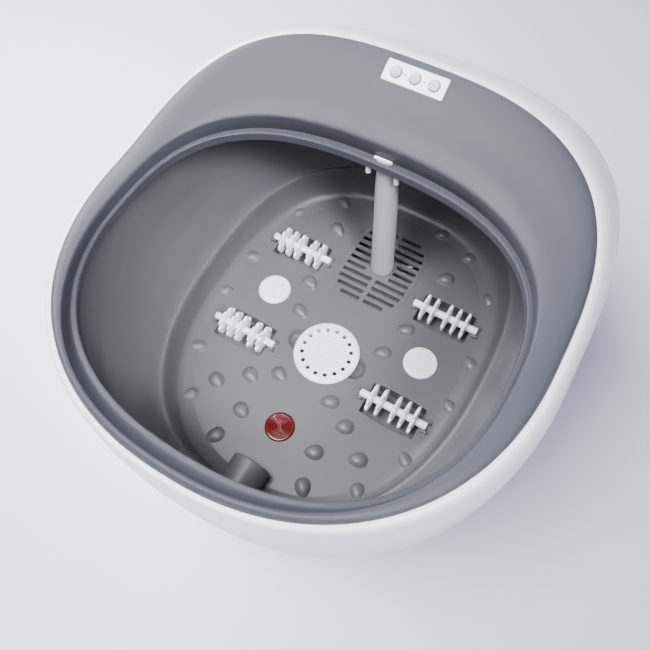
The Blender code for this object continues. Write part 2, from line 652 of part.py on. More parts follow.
def build_drain():
    outward = Matrix.Rotation(pi / 2, 4, "X")
    plug = turned("drain_plug", [(0, 0), (12.8, 0), (13.8, -1), (13.8, -6), (8.6, -6),
                                 (8.6, -26), (8.0, -28), (0, -28)],
                  (0, DRAIN_PLUG_Y, DRAIN_Z), GREY, turn=outward)
    tab = add_box(bmesh.new(), (3.0, 17, 7.0), (0, 0, 0))
    tab_tool = tool(tab, "drain_tab")
    tab_tool.data.transform(Matrix.Translation(-at(0, 0, 0)))
    tab_tool.matrix_world = Matrix.Translation(at(0, DRAIN_PLUG_Y - 2.5, DRAIN_Z)) @ outward
    join(plug, tab_tool)
    turned("drain_seal", [(9.0, -7.2), (9.0, -6.3), (12.6, -6.3), (12.6, -7.2)],
           (0, DRAIN_PLUG_Y, DRAIN_Z), RUBBER, turn=outward)


# ---------------------------------------------------------------- controls, power and air
def build_controls():
    tilt = Matrix.Rotation(DECK_SLOPE, 4, "X")
    panel = body("control_panel", add_box(bmesh.new(), PANEL_SIZE, PANEL_CENTRE, tilt), WHITE)
    bores = bmesh.new()
    normal = Vector((0, -sin(DECK_SLOPE), cos(DECK_SLOPE)))
    for x in BUTTON_X:
        add_cylinder(bores, BUTTON_RADIUS + GAP, 20, (x, *PANEL_CENTRE[1:]), turn=tilt)
    cut(panel, tool(bores, "button_bores"))
    for x, use in zip(BUTTON_X, ("heat", "power", "bubble")):
        turned(f"button_{use}", [(0, 3.0), (3.6, 3.0), (BUTTON_RADIUS, 2.2),
                                 (BUTTON_RADIUS, -3.4), (0, -3.4)],
               (x, *PANEL_CENTRE[1:]), PALE, turn=tilt, steps=16)
    below = Vector(PANEL_CENTRE) - 7.6 * normal
    body("control_board", add_box(bmesh.new(), (50, 22, 1.6), below, tilt), GREEN)


def build_power_and_air():
    inlet = body("power_inlet", add_box(bmesh.new(), INLET_SIZE, INLET_CENTRE), DARK)
    cut(inlet, tool(add_box(bmesh.new(), (20, 24, 11), (0, 180, -15)), "inlet_socket"))
    body("power_board", add_box(bmesh.new(), (60, 44, 1.6), (68, -98, -38)), GREEN)
    pump = body("air_pump", add_box(bmesh.new(), AIR_PUMP_SIZE, AIR_PUMP_CENTRE), DARK)
    bevel = pump.modifiers.new("edges", "BEVEL")
    bevel.width = 3 * MM
    bevel.segments = 2
    tube("air_hose_left", [(-DISC_X, DISC_Y, -15.4), (-DISC_X, DISC_Y - 1, -21),
                           (-DISC_X + 1, DISC_Y - 8, -27), (-84, -12, -29), (-82, -45, -29),
                           (-80, -70, -28), (-80, -80.6, -28)], 3.2, PALE)
    tube("air_hose_right", [(DISC_X, DISC_Y, -15.4), (DISC_X, DISC_Y - 1, -21),
                            (DISC_X - 3, DISC_Y - 8, -28), (70, -8, -31), (34, -30, -32),
                            (0, -58, -32), (-34, -66, -31), (-58, -70, -29),
                            (-60, -76, -28), (-60, -80.6, -28)], 3.2, PALE)


def smooth_round_pieces():
    for obj in PARTS.objects:
        if obj.type == "MESH":
            obj.data.shade_smooth()
            obj.data.set_sharp_from_angle(angle=radians(35))


build_casings()
build_tub()
build_frame()
build_rollers()
build_floor_inserts()
build_grille_and_pump()
build_column()
build_drain()
build_controls()
build_power_and_air()
smooth_round_pieces()
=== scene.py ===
"""Foot spa basin: the finished pieces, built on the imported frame.

Metres, +Z up.  The toe end, under the sloping deck, is +Y and the heel end is -Y.
Sizes in the tables and profiles are millimetres from the top of the tub's floor.
"""

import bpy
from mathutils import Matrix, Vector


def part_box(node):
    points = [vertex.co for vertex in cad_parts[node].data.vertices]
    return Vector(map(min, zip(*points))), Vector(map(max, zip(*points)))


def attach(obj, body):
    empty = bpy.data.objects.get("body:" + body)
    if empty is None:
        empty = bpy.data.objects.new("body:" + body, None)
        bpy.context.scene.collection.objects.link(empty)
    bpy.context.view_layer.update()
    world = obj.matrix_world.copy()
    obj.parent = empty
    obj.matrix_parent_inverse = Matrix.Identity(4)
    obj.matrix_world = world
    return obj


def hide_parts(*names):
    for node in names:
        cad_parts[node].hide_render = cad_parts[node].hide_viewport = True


bl_info = {
    "name": "Foot Spa Basin",
    "version": (1, 0, 0),
    "blender": (4, 5, 0),
    "location": "View3D > Sidebar > Foot Spa",
    "description": "Builds the finished pieces of a foot spa basin on its packed frame",
    "category": "Add Mesh",
}

from collections import namedtuple
from math import copysign, cos, hypot, pi, radians, sin, sqrt

import bmesh
import bpy
from bpy.props import FloatProperty, FloatVectorProperty, IntProperty, PointerProperty
from mathutils import Matrix, Vector

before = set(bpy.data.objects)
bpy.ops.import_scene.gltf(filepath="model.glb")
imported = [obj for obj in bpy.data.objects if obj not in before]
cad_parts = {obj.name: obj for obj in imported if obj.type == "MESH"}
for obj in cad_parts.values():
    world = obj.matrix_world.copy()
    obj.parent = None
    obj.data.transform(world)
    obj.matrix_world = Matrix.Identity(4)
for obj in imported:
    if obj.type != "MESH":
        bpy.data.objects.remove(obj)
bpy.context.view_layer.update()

MM = 0.001
FLOOR_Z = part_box("intake_grille")[1].z / MM      # top of the tub's floor
HERB_MIDDLE = sum(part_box("herb_box_lid"), Vector()) / 2 / MM
CENTRE_Y = HERB_MIDDLE.y + 21.7                  # middle of the floor
UPRIGHT = Matrix.Identity(4)
ALONG_X = Matrix.Rotation(pi / 2, 4, "Y")
ALONG_Y = Matrix.Rotation(-pi / 2, 4, "X")
OUTWARD = Matrix.Rotation(pi / 2, 4, "X")        # the drain looks out to the front
DECK_TILT = Matrix.Rotation(radians(30), 4, "X")

# half width, y of the widest line, reach to the front, reach to the rear, height,
# how far the rear end rises, how far the front end rises, and how square the outline
# is in front and behind (2 is an ellipse)
Ring = namedtuple("Ring", "width centre front rear height rise lift nose toe",
                  defaults=(0, 0, 2.35, 2.65))

TUB_INSIDE = [
    Ring(124.0, 6, 168, 154, 0.0), Ring(132.5, 7, 176.5, 161.5, 2.6),
    Ring(138.8, 7.5, 182.8, 167, 7.4), Ring(140.6, 8, 184.8, 168.6, 12.0),
    Ring(143.0, 9, 188, 170, 24.0),
    Ring(144.5, 8, 190, 172, 38.0), Ring(147.5, 7, 192, 175, 39.5),
    Ring(159.0, -5, 185, 190, 62.0), Ring(169.0, -16, 180, 202, 85.0),
    Ring(174.5, -25, 175, 213, 105.0), Ring(175.0, -28, 172, 215, 126.0),
    Ring(173.0, -30, 169, 215, 150.0), Ring(170.0, -32, 165, 215, 168.0),
]
FLANGE = Ring(178.0, -32, 172, 222, 168.0)

FRAME_SECTION = [       # once round the section, from the foot of the inner lip
    Ring(159.0, -50, 141, 125, 170.0), Ring(159.0, -50, 141, 125, 176.4),
    Ring(159.8, -50, 142, 126, 177.5), Ring(161.8, -50, 145.5, 131.6, 178.0, 0, 0, 2.35, 2.6),
    Ring(163.0, -46, 156.5, 124, 186.0, 9, 2.5, 2.3, 2.55),
    Ring(164.4, -45, 158.0, 124.6, 187.6, 10, 3.0, 2.3, 2.55),
    Ring(173.5, -36, 169.0, 143, 188.4, 24, 3.0, 2.25, 2.7),
    Ring(180.3, -28, 179.0, 161.0, 187.2, 39, 3.0, 2.25, 2.85),
    Ring(183.0, -25, 183.5, 164, 184.0, 45, 3.4, 2.22, 2.9),
    Ring(183.0, -25, 183.5, 164, 177.0, 45, 3.4, 2.22, 2.9),
    Ring(180.6, -25, 181.1, 161.6, 177.0, 45, 3.4, 2.22, 2.9),
    Ring(179.8, -26, 179.8, 160.4, 183.8, 39, 3.0, 2.25, 2.85),
    Ring(173.5, -36, 169.4, 143, 185.6, 23.6, 2.6, 2.25, 2.7),
    Ring(166.8, -45, 159.8, 127.2, 184.8, 10, 1.8, 2.3, 2.55),
    Ring(165.0, -50, 149.0, 135.6, 173.6, 0, 0, 2.35, 2.6),
    Ring(161.5, -50, 143.5, 127.5, 173.6), Ring(161.5, -50, 143.5, 127.5, 170.0),
]

SHELL_OUTSIDE = [       # from the seam with the deck down to the base
    Ring(183.4, -25, 183.9, 164.4, 183.6, 45, 3.4, 2.22, 2.9),
    Ring(185.6, -25, 186.0, 167.4, 184.0, 45, 3.4, 2.22, 2.9),
    Ring(190.5, -24, 189.4, 180, 180.0, 43, 3.0, 2.22, 3.0),
    Ring(195.5, -21, 193.5, 204, 166.0, 38, 2.0, 2.22, 3.1),
    Ring(198.8, -18, 198.5, 223, 146.0, 27, 0, 2.24, 3.2),
    Ring(200.0, -14, 203.0, 229, 118.0, 12, 0, 2.26, 3.1),
    Ring(198.0, -10, 205.0, 224, 85.0, 0, 0, 2.28, 3.0),
    Ring(190.0, -4, 203.0, 206, 45.0, 0, 0, 2.3, 2.8),
    Ring(178.0, 0, 194, 189, 5.0, 0, 0, 2.3, 2.7),
    Ring(167.0, 0, 184, 177, -30.0), Ring(163.5, 0, 180.5, 173.5, -40.0),
    Ring(160.5, 0, 177.5, 170.5, -47.0),
]

# x, y, and direction of the long axis in degrees, for the bumps on the right
BUMPS = [
    (115.0, 112.5, -32), (77.0, 149.5, 26), (65.5, 113.5, 26), (128.5, 38.0, -32),
    (130.0, -12.0, -32), (56.5, 40.0, 26), (48.0, 6.0, 26), (117.0, -78.5, -32),
    (79.0, -99.5, 26), (93.5, -125.5, 125), (53.0, -78.5, 26), (28.5, -64.0, 26),
    (40.5, -113.5, 26), (48.5, -146.0, 125), (38.0, 163.0, 26),
]
ROLLER_DISCS = (-22.6, -12.4, 2.2, 12.1, 21.9)   # along the right-hand rollers' axles
TEETH, TOOTH_STEPS = 8, 14                       # teeth round a disc, points round a tooth
AXLE_RADIUS, AXLE_END = 3.75, 35.0
SADDLE_X = 34.2                                  # a saddle's middle along the axle
GRILLE_Y, GRILLE_HALF, GRILLE_CORNER = 93.0, (41.0, 50.0), 25.0
SLOT_ROWS, FIRST_SLOT_Y, SLOT_PITCH = 11, 48.8, 8.8
BAR_HALF, SPIGOT_HALF = 2.6, 14.0                # what the slots leave free in the middle
COLUMN_Y = 95.0
COLUMN_FOOT, COLUMN_LEAN = 12, 0.032             # it leans to the front above its foot
CLIP_Y = 79.4
CLIP_SLOT = (11.0, 3.2, 16)
SCOOP_X = 31                                     # finger scoops on both sides of the lid
HERB_HOLES, HERB_HOLES_AT, HERB_FIRST_HOLE = 16, 24.4, radians(4)
PLUG_FACE_Y = -203.5
LAMP_X = 8                                       # small lamps between the buttons
BUTTONS = ("heat", "power", "bubble")
PINS_X = 4.3
POSTS = [(-60, -138), (60, -138), (-117, 10), (117, 10), (-86, 118), (86, 118)]
DECK_SWEEP, RIM_SWEEP = 1.6, 2                   # how late the rear and front ends climb

# name, place, target, width and height, tint and spread in degrees
LIGHTS = [
    ("key", (-0.2, -0.38, 1.25), (0.0, 0.0, 0.1), (0.6, 0.6), (1.0, 0.99, 0.99), 180),
    ("side", (-0.95, 0.25, 0.8), (-0.1, 0.05, 0.1), (0.6, 0.6), (0.97, 0.98, 1.0), 180),
    ("inner", (0.55, -0.35, 1.2), (-0.12, 0.0, 0.15), (0.3, 0.5), (1.0, 1.0, 1.0), 26),
]
SKY_COLOUR, SKY_STRENGTH = (0.80, 0.81, 0.97, 1), 0.22
CAMERA_PLACE = (0.1425, -0.2237, 0.6083)
CAMERA_AZIMUTH, CAMERA_ELEVATION, CAMERA_ROLL = radians(34.88), radians(63.3), radians(-4.79)


# ---------------------------------------------------------------- settings
def length(name, description, millimetres):
    return FloatProperty(name=name, description=description, default=millimetres * MM,
                         unit="LENGTH")


def power(name, description, watts):
    return FloatProperty(name=name, description=description, default=watts, unit="POWER")


def colour(name, description, default):
    return FloatVectorProperty(name=name, description=description, default=default,
                               subtype="COLOR", size=3, min=0.0, max=1.0)


class FootSpaSizes(bpy.types.PropertyGroup):
    """Sizes of the finished pieces that can be changed within the frame"""
    segments: IntProperty(
        name="Segments", description="Points round the shell, the tub and the deck",
        default=160, min=48, max=320)
    shell_wall: length("Shell wall", "Thickness of the outer shell", 2.6)
    tub_wall: length("Tub wall", "Thickness of the inner tub", 2.7)
    bump_height: length("Bump height", "Height of the massage bumps above the floor", 4.4)
    tooth_tip: length("Tooth tip", "Radius of a roller over its teeth", 14.4)
    tooth_root: length("Tooth root", "Radius of a roller between its teeth", 11.2)


class FootSpaColours(bpy.types.PropertyGroup):
    """Colours of the mouldings"""
    shell: colour("Shell", "Outer shell", (0.76, 0.755, 0.88))
    deck: colour("Deck", "Sloping deck and rim", (0.045, 0.048, 0.062))
    tub: colour("Tub", "Tub, grille and roller pockets", (0.093, 0.095, 0.108))
    trim: colour("Trim", "Rollers, discs, herb box lid and clip", (0.87, 0.865, 0.95))
    column: colour("Column", "Spray column", (0.44, 0.44, 0.50))
    lens: colour("Lens", "Infrared lens", (0.085, 0.001, 0.0006))


class FootSpaStudio(bpy.types.PropertyGroup):
    """The floor and the lights"""
    key_power: power("Key light", "Power of the light above the heel end", 34.0)
    side_power: power("Side light", "Power of the light on the left", 27.0)
    inner_power: power("Inner light", "Power of the narrow light on the tub's inside", 1.4)
    backdrop: colour("Backdrop", "Floor under the basin", (0.80, 0.78, 0.96))
    lens_length: FloatProperty(
        name="Focal length", description="Focal length of the camera", default=33.85,
        unit="CAMERA")


# ---------------------------------------------------------------- shape makers
def at(x, y, z):
    """A point given from the middle of the floor, in millimetres, as metres."""
    return Vector((x, y + CENTRE_Y, z + FLOOR_Z)) * MM


def middle(node):
    """The middle of a frame node's box, in millimetres from the middle of the floor."""
    low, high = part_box(node)
    centre = (low + high) / 2 / MM
    return Vector((centre.x, centre.y - CENTRE_Y, centre.z - FLOOR_Z))


def signed_power(value, power):
    return copysign(abs(value) ** power, value)


def around(count, start=0.0):
    """Angles evenly round a circle."""
    return [start + 2 * pi * k / count for k in range(count)]


def outline(ring, segments):
    """Points of a ring, straight ahead (+Y) first."""
    points = []
    for angle in around(segments):
        ahead = cos(angle) >= 0
        power = 2 / (ring.toe if ahead else ring.nose)
        along = signed_power(cos(angle), power)
        x = ring.width * signed_power(sin(angle), power)
        y = ring.centre + (ring.rear if ahead else ring.front) * along
        climb = ring.rise * along ** DECK_SWEEP if ahead else ring.lift * along ** RIM_SWEEP
        points.append(at(x, y, ring.height + climb))
    return points


def slopes(places, values):
    """Slopes of a smooth curve through the values that never swings past them."""
    gaps = [b - a for a, b in zip(places, places[1:])]
    rises = [(b - a) / gap for a, b, gap in zip(values, values[1:], gaps)]
    result = [rises[0]]
    for i in range(1, len(rises)):
        before, after = rises[i - 1], rises[i]
        if before * after <= 0:
            result.append(0.0)
        else:
            near, far = 2 * gaps[i] + gaps[i - 1], gaps[i] + 2 * gaps[i - 1]
            result.append((near + far) / (near / before + far / after))
    return result + [rises[-1]]


def refined(rings, steps, closed=False):
    """The rings with smooth ones between them."""
    rings = list(rings) + ([rings[0]] if closed else [])
    rows = [(r.width, r.centre, r.centre - r.front, r.centre + r.rear, r.height,
             r.height + r.rise, r.height + r.lift, r.nose, r.toe) for r in rings]
    places = [0.0]
    for a, b in zip(rows, rows[1:]):
        places.append(places[-1] + sqrt(sum((p - q) ** 2 for p, q in zip(a[:5], b[:5]))))
    columns = list(zip(*rows))
    tangents = [slopes(places, column) for column in columns]
    result = []
    for i in range(len(rings) - 1):
        gap = places[i + 1] - places[i]
        for step in range(steps):
            t = step / steps
            rest = 1 - t
            weights = (rest * rest * (1 + 2 * t), t * rest * rest * gap,
                       t * t * (3 - 2 * t), -t * t * rest * gap)
            row = [weights[0] * c[i] + weights[1] * m[i] + weights[2] * c[i + 1]
                   + weights[3] * m[i + 1] for c, m in zip(columns, tangents)]
            width, centre, front, rear, height, rear_end, front_end = row[:7]
            result.append(Ring(width, centre, centre - front, rear - centre, height,
                               rear_end - height, front_end - height, *row[7:]))
    return result if closed else result + [rings[-1]]


def grown(ring, wall, drop=0.0):
    return ring._replace(width=ring.width + wall, front=ring.front + wall,
                         rear=ring.rear + wall, height=ring.height - drop)


def levelled(ring, wall, height):
    return grown(ring, wall)._replace(height=height)


def offset(rings, wall):
    """The rings moved square to the side profile, away from the middle for wall > 0."""
    moved = []
    for i, ring in enumerate(rings):
        before, after = rings[max(i - 1, 0)], rings[min(i + 1, len(rings) - 1)]
        across, up = after.width - before.width, after.height - before.height
        length = hypot(across, up)
        moved.append(grown(ring, wall * up / length, wall * across / length))
    return moved


def skin(bm, loops, closed=False):
    """A skin over loops of points: a closed tube, or one that is capped at its ends.

    A loop of one point is a pole."""
    rows = [[bm.verts.new(point) for point in loop] for loop in loops]
    for a, b in list(zip(rows, rows[1:])) + ([(rows[-1], rows[0])] if closed else []):
        count = max(len(a), len(b))
        for i in range(count):
            j = (i + 1) % count
            corners = [a[i % len(a)], a[j % len(a)], b[j % len(b)], b[i % len(b)]]
            bm.faces.new(list(dict.fromkeys(corners)))
    for row in (rows[0], rows[-1]):
        if not closed and len(row) > 1:
            bm.faces.new(row)
    return bm


def rounded(profile, radius, hollow, steps=4):
    """The profile with its corners rounded off; a hollow one is closed on itself."""
    points = [Vector(p) for p in profile]
    count = len(points)
    result = []
    for i, point in enumerate(points):
        if not hollow and i in (0, count - 1):
            result.append(point)
            continue
        before, after = points[i - 1] - point, points[(i + 1) % count] - point
        reach = min(radius, 0.45 * before.length, 0.45 * after.length)
        start = point + before.normalized() * reach
        end = point + after.normalized() * reach
        for step in range(steps + 1):
            t = step / steps
            result.append(start * (1 - t) ** 2 + point * 2 * t * (1 - t) + end * t * t)
    return result


def lathe(bm, profile, centre, turn=UPRIGHT, segments=72, edge=0.5):
    """A turned body.  The profile is (radius, height) pairs from one end to the other."""
    hollow = min(radius for radius, height in profile) > 0
    place = Matrix.Translation(at(*centre)) @ turn
    loops = []
    for radius, height in rounded(profile, edge, hollow):
        loops.append([place @ (Vector((radius * cos(angle), radius * sin(angle), height)) * MM)
                      for angle in around(segments if radius > 1e-6 else 1)])
    return skin(bm, loops, closed=hollow)


def rod(radius, low, high):
    """The profile of a plain round bar."""
    return [(0, low), (radius, low), (radius, high), (0, high)]


def plan(half_x, half_y, corner, bulge=0.0, steps=8):
    """A rounded rectangle round (0, 0); bulge bows its long sides out."""
    points = []
    for quarter in range(4):
        cx = (half_x - corner) * (1 if quarter in (0, 3) else -1)
        cy = (half_y - corner) * (1 if quarter in (0, 1) else -1)
        for step in range(steps + 1):
            angle = pi / 2 * (quarter + step / steps)
            points.append((cx + corner * cos(angle), cy + corner * sin(angle)))
        if bulge and quarter in (0, 2):
            side = 1 if quarter == 0 else -1
            points += [(cx * (1 - k / 6), side * half_y) for k in range(1, 12)]
    return [(x, y + copysign(bulge * (1 - (x / half_x) ** 2), y)) for x, y in points]


def prism(bm, levels, half, corner, place, bulge=0.0):
    """A rounded block from (grow, z) levels.  place is its middle in millimetres."""
    loops = []
    for grow, z in levels:
        points = plan(half[0] + grow, half[1] + grow, max(corner + grow, 0.05), bulge)
        loops.append([at(place[0] + x, place[1] + y, z) for x, y in points])
    return skin(bm, loops)


def as_mesh(bm, name):
    bmesh.ops.recalc_face_normals(bm, faces=bm.faces)
    mesh = bpy.data.meshes.new(name)
    bm.to_mesh(mesh)
    bm.free()
    return mesh


def poured(mesh, bm):
    """The body with the mesh's faces added to it; the mesh itself goes."""
    bm.from_mesh(mesh)
    bpy.data.meshes.remove(mesh)
    return bm


def block(bm, size, centre, edge, turn=UPRIGHT):
    """A box with rounded edges."""
    piece = bmesh.new()
    bmesh.ops.create_cube(piece, size=1.0, matrix=Matrix.Diagonal((*size, 1)))
    bmesh.ops.bevel(piece, geom=piece.edges[:], offset=edge, segments=3, profile=0.5,
                    affect="EDGES")
    place = Matrix.Translation(at(*centre)) @ turn @ Matrix.Diagonal((MM, MM, MM, 1))
    bmesh.ops.transform(piece, matrix=place, verts=piece.verts)
    return poured(as_mesh(piece, "block"), bm)


def new_object(name, data):
    made = bpy.data.objects.new(name, data)
    bpy.context.scene.collection.objects.link(made)
    return made


def worked(name, bm, join=(), cut=()):
    """The body's mesh after other bodies are joined to it and others then cut from it."""
    piece = new_object(name, as_mesh(bm, name))
    others = []
    for other in [*join, *cut]:
        tool = new_object("tool", as_mesh(other, "tool"))
        modifier = piece.modifiers.new("work", "BOOLEAN")
        modifier.operation = "UNION" if len(others) < len(join) else "DIFFERENCE"
        modifier.solver = "EXACT"
        modifier.use_self = modifier.operation == "DIFFERENCE"
        modifier.object = tool
        others.append(tool)
    graph = bpy.context.evaluated_depsgraph_get()
    mesh = bpy.data.meshes.new_from_object(piece.evaluated_get(graph))
    mesh.name = name
    for old in others + [piece]:
        data = old.data
        bpy.data.objects.remove(old)
        bpy.data.meshes.remove(data)
    return mesh


def publish(name, mesh, material, replaces=(), body="basin", crease=32):
    """A finished piece that rides on a body and stands for its frame nodes.

    The material is a finish's name or a material."""
    if isinstance(mesh, bmesh.types.BMesh):
        mesh = as_mesh(mesh, name)
    mesh.materials.clear()
    mesh.materials.append(finish(material) if isinstance(material, str) else material)
    mesh.shade_smooth()
    mesh.set_sharp_from_angle(angle=radians(crease))
    piece = new_object(name, mesh)
    normals = piece.modifiers.new("even shading", "WEIGHTED_NORMAL")
    normals.keep_sharp = True
    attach(piece, body)
    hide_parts(*replaces)
    return piece


# ---------------------------------------------------------------- finishes
def add(tree, kind, links=(), **settings):
    """A shader node.  links pairs an input's name or number with a value or an output."""
    made = tree.nodes.new(kind)
    for key, value in settings.items():
        setattr(made, key, value)
    for key, value in dict(links).items():
        if isinstance(value, bpy.types.NodeSocket):
            tree.links.new(value, made.inputs[key])
        else:
            made.inputs[key].default_value = value
    return made


def new_group(name, inputs, outputs):
    tree = bpy.data.node_groups.new(name, "ShaderNodeTree")
    for label, kind, default in inputs:
        socket = tree.interface.new_socket(label, in_out="INPUT", socket_type=kind)
        socket.default_value = default
    for label, kind in outputs:
        tree.interface.new_socket(label, in_out="OUTPUT", socket_type=kind)
    return tree, tree.nodes.new("NodeGroupInput"), tree.nodes.new("NodeGroupOutput")


def maths(tree, operation, *values, clamp=False):
    return add(tree, "ShaderNodeMath", enumerate(values), operation=operation,
               use_clamp=clamp).outputs[0]


def vector_maths(tree, operation, values):
    return add(tree, "ShaderNodeVectorMath", values, operation=operation).outputs


def ranged(tree, value, low, high, start=0.0, end=1.0):
    """The value's share of the way from low to high, as a number from start to end."""
    return add(tree, "ShaderNodeMapRange", {"Value": value, "From Min": low, "From Max": high,
                                            "To Min": start, "To Max": end}).outputs[0]


def noise(tree, place, scale, detail, roughness=0.5):
    return add(tree, "ShaderNodeTexNoise", {"Vector": place, "Scale": scale, "Detail": detail,
                                            "Roughness": roughness}).outputs["Fac"]


def relief(tree, height, depth, **links):
    """Normals of a relief whose depth is in millimetres."""
    distance = maths(tree, "MULTIPLY", depth, MM)
    return add(tree, "ShaderNodeBump", {"Height": height, "Strength": 1.0,
                                        "Distance": distance, **links}).outputs[0]


FLOAT, COLOUR, VECTOR = "NodeSocketFloat", "NodeSocketColor", "NodeSocketVector"


def moulded_surface():
    """Moulded plastic: faint clouds of colour, fine grain, soft waves and hairline scuffs."""
    name = "Moulded surface"
    if name in bpy.data.node_groups:
        return bpy.data.node_groups[name]
    tree, given, result = new_group(
        name,
        [("Colour", COLOUR, (0.5, 0.5, 0.5, 1)), ("Clouds", FLOAT, 0.06),
         ("Grain size", FLOAT, 0.6), ("Grain depth", FLOAT, 0.02), ("Waves", FLOAT, 0.05),
         ("Roughness", FLOAT, 0.35), ("Scuffs", FLOAT, 0.05)],
        [("Colour", COLOUR), ("Roughness", FLOAT), ("Normal", VECTOR)])
    g = given.outputs
    place = add(tree, "ShaderNodeTexCoord").outputs["Object"]
    clouds = ranged(tree, noise(tree, place, 14.0, 3.0), 0.3, 0.7, -0.5, 0.5)
    swing = maths(tree, "MULTIPLY", clouds, g["Clouds"])
    level = maths(tree, "ADD", swing, 1.0)
    tint = vector_maths(tree, "SCALE", {0: g["Colour"], "Scale": level})[0]
    stretched = add(tree, "ShaderNodeMapping", {"Vector": place, "Rotation": (0.3, 0.2, 0.7),
                                                "Scale": (1.0, 34.0, 6.0)}).outputs[0]
    hairs = ranged(tree, noise(tree, stretched, 22.0, 4.0, 0.7), 0.60, 0.78)
    scuffs = maths(tree, "MULTIPLY", hairs, g["Scuffs"])
    uneven = maths(tree, "MULTIPLY_ADD", swing, 0.8, scuffs)
    rough = maths(tree, "ADD", g["Roughness"], uneven, clamp=True)
    wavy = relief(tree, noise(tree, place, 45.0, 1.0), g["Waves"])
    grain = noise(tree, place, maths(tree, "DIVIDE", 1000.0, g["Grain size"]), 2.0)
    grainy = relief(tree, grain, g["Grain depth"], Normal=wavy)
    for label, socket in (("Colour", tint), ("Roughness", rough), ("Normal", grainy)):
        tree.links.new(socket, result.inputs[label])
    return tree


def pebbled_ring():
    """Fine dimples and grey specks inside a circle round a point."""
    name = "Pebbled ring"
    if name in bpy.data.node_groups:
        return bpy.data.node_groups[name]
    tree, given, result = new_group(
        name,
        [("Colour", COLOUR, (0.8, 0.8, 0.8, 1)), ("Speck colour", COLOUR, (0.5, 0.5, 0.55, 1)),
         ("Middle", VECTOR, (0, 0, 0)), ("Radius", FLOAT, 0.018), ("Size", FLOAT, 1.3),
         ("Amount", FLOAT, 0.5), ("Depth", FLOAT, 0.15)],
        [("Colour", COLOUR), ("Normal", VECTOR)])
    g = given.outputs
    place = add(tree, "ShaderNodeTexCoord").outputs["Object"]
    away = vector_maths(tree, "SUBTRACT", {0: place, 1: g["Middle"]})[0]
    flat = vector_maths(tree, "MULTIPLY", {0: away, 1: (1, 1, 0)})[0]
    distance = vector_maths(tree, "LENGTH", {0: flat})["Value"]
    ratio = maths(tree, "DIVIDE", distance, g["Radius"])
    inside = ranged(tree, ratio, 1.0, 0.9)
    scale = maths(tree, "DIVIDE", 1000.0, g["Size"])
    cells = add(tree, "ShaderNodeTexVoronoi", {"Vector": place, "Scale": scale}).outputs
    dent = ranged(tree, cells["Distance"], 0.15, 0.55)
    dents = relief(tree, maths(tree, "MULTIPLY", dent, inside), g["Depth"])
    speck = maths(tree, "MULTIPLY", ranged(tree, cells["Color"], 0.55, 0.95),
                  maths(tree, "SUBTRACT", 1.0, dent))
    for mask in (inside, g["Amount"]):
        speck = maths(tree, "MULTIPLY", speck, mask)
    mixed = add(tree, "ShaderNodeMix", {"Factor": speck, "A": g["Colour"],
                                        "B": g["Speck colour"]}, data_type="RGBA")
    tree.links.new(mixed.outputs[2], result.inputs["Colour"])
    tree.links.new(dents, result.inputs["Normal"])
    return tree


def set_inputs(node, values):
    for key, value in values.items():
        node.inputs[key].default_value = value


def place_group(tree, group, values):
    placed = add(tree, "ShaderNodeGroup", node_tree=group)
    set_inputs(placed, values)
    return placed


def plastic(name, base, roughness=0.35, grain=(0.6, 0.02), waves=0.05, clouds=0.06,
            scuffs=0.05, coat=0.0, metallic=0.0, specular=0.5):
    """A moulding's material.  grain is the size and depth of its grain in millimetres."""
    material = bpy.data.materials.new(name)
    material.use_nodes = True
    tree = material.node_tree
    shader = tree.nodes["Principled BSDF"]
    surface = place_group(tree, moulded_surface(), {
        "Colour": (*base, 1), "Clouds": clouds, "Grain size": grain[0],
        "Grain depth": grain[1], "Waves": waves, "Roughness": roughness, "Scuffs": scuffs})
    tree.links.new(surface.outputs["Colour"], shader.inputs["Base Color"])
    tree.links.new(surface.outputs["Roughness"], shader.inputs["Roughness"])
    tree.links.new(surface.outputs["Normal"], shader.inputs["Normal"])
    set_inputs(shader, {"Coat Weight": coat, "Coat Roughness": 0.12, "Metallic": metallic,
                        "Specular IOR Level": specular})
    return material


def pebbled(name, base, middle_point, radius, size, amount, depth):
    """Trim plastic with a pebbled middle."""
    material = plastic(name, base, roughness=0.38, clouds=0.03)
    tree = material.node_tree
    shader = tree.nodes["Principled BSDF"]
    surface = shader.inputs["Base Color"].links[0].from_node
    pebbles = place_group(tree, pebbled_ring(), {
        "Speck colour": (0.26, 0.26, 0.32, 1), "Middle": at(*middle_point),
        "Radius": radius * MM, "Size": size, "Amount": amount, "Depth": depth})
    tree.links.new(surface.outputs["Colour"], pebbles.inputs["Colour"])
    tree.links.new(pebbles.outputs["Colour"], shader.inputs["Base Color"])
    tree.links.new(pebbles.outputs["Normal"], shader.inputs["Normal"])
    return material


